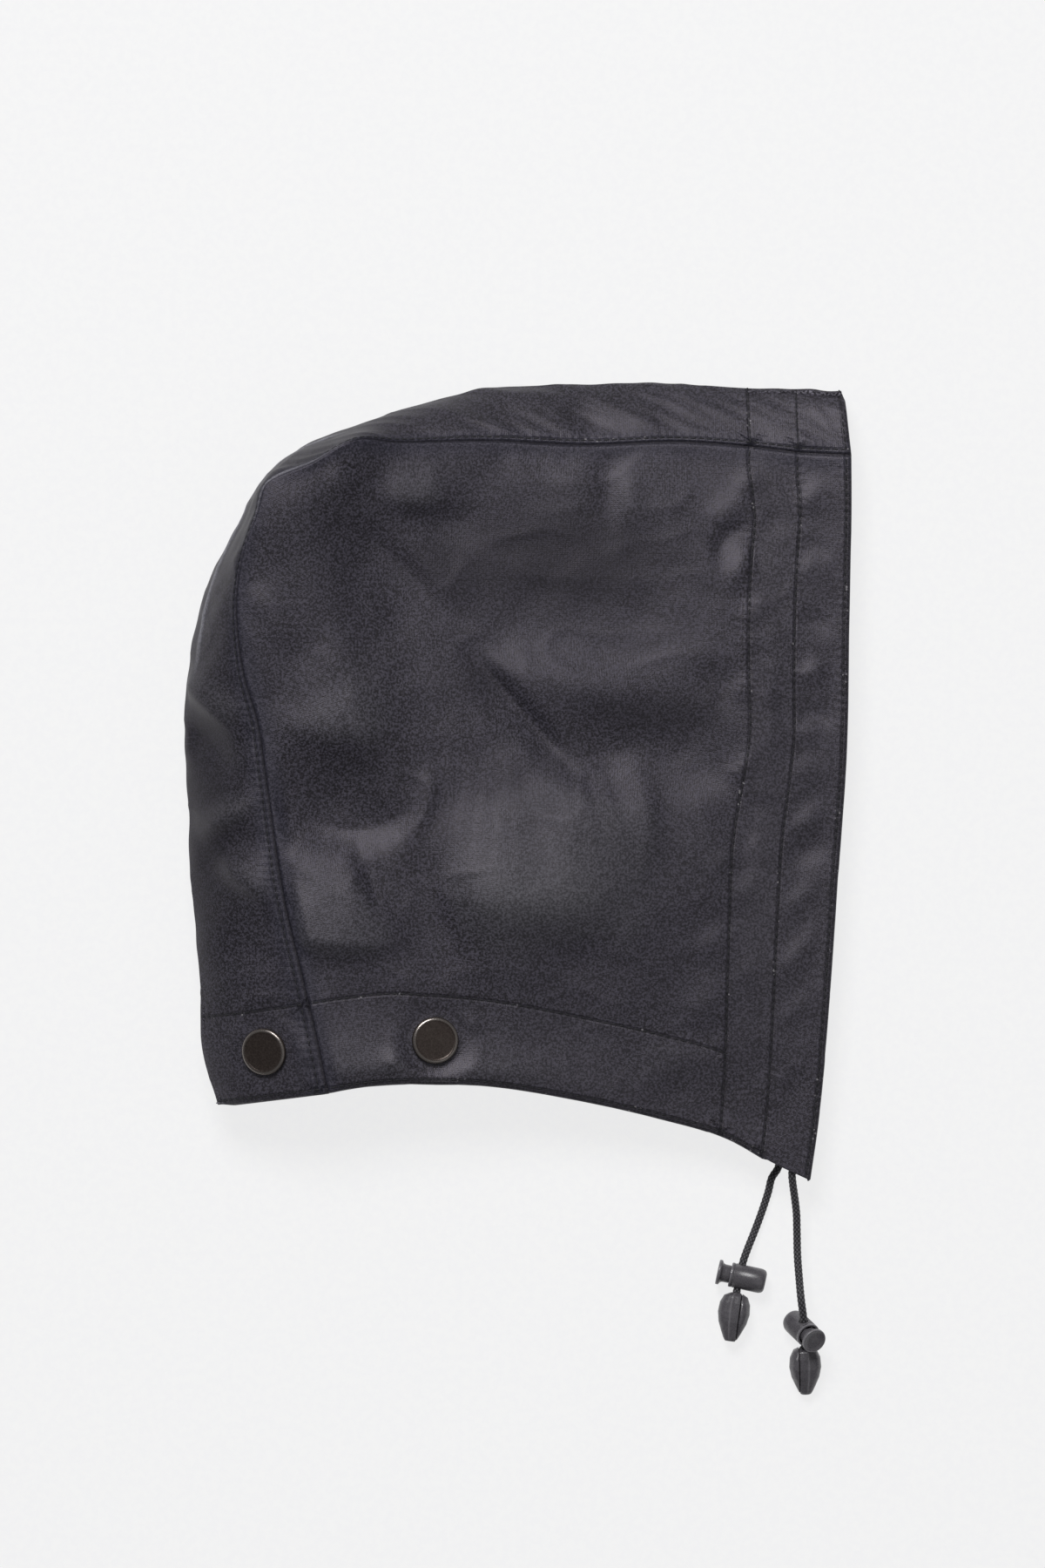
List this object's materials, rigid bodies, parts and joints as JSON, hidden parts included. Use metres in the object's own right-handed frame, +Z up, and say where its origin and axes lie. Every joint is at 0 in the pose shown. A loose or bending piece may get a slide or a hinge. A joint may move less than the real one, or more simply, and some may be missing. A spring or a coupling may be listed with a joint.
{
  "type": "detachable hood",
  "caption": "Three-panel rain hood lying on its side, open at the face and neck, with press studs along the neck hem and drawcord ends with sprung cord locks.",
  "frame": {"origin": "middle of the hood's box without its free cords, on the surface it lies on", "axes": "+Z up from the surface, +X out of the face opening, +Y from the neck to the crown"},
  "size_m": [0.2528, 0.3835, 0.054],
  "materials": {
    "waxed_cotton": "dark navy waxed cotton, softly shiny with creases that catch the light",
    "stud_metal": "gunmetal, satin with a bright bevelled rim",
    "black_plastic": "satin black moulded plastic",
    "cord": "tight black braid"
  },
  "bodies": {
    "hood": {"right_panel": "waxed_cotton", "left_panel": "waxed_cotton", "centre_panel": "waxed_cotton", "front_casing": "waxed_cotton", "neck_facing": "waxed_cotton", "right_side_stud": "stud_metal", "right_nape_stud": "stud_metal", "left_nape_stud": "stud_metal", "left_side_stud": "stud_metal", "left_cord": "cord", "left_lock_barrel": "black_plastic", "left_cord_end_shell": "black_plastic", "left_cord_end_clip": "black_plastic", "right_cord": "cord", "right_lock_barrel": "black_plastic", "right_cord_end_shell": "black_plastic", "right_cord_end_clip": "black_plastic"},
    "left_button": {"left_lock_button": "black_plastic"},
    "right_button": {"right_lock_button": "black_plastic"}
  },
  "joints": [
    {"name": "left_lock_press", "type": "slide", "parent": "hood", "child": "left_button", "axis": [0.9773, -0.2121, 0], "range_m": [0, 0.0024], "stiffness_N_per_m": 800, "springref_m": -0.002},
    {"name": "right_lock_press", "type": "slide", "parent": "hood", "child": "right_button", "axis": [-0.45, 0.42, -0.7881], "range_m": [0, 0.0024], "stiffness_N_per_m": 800, "springref_m": -0.002}
  ]
}
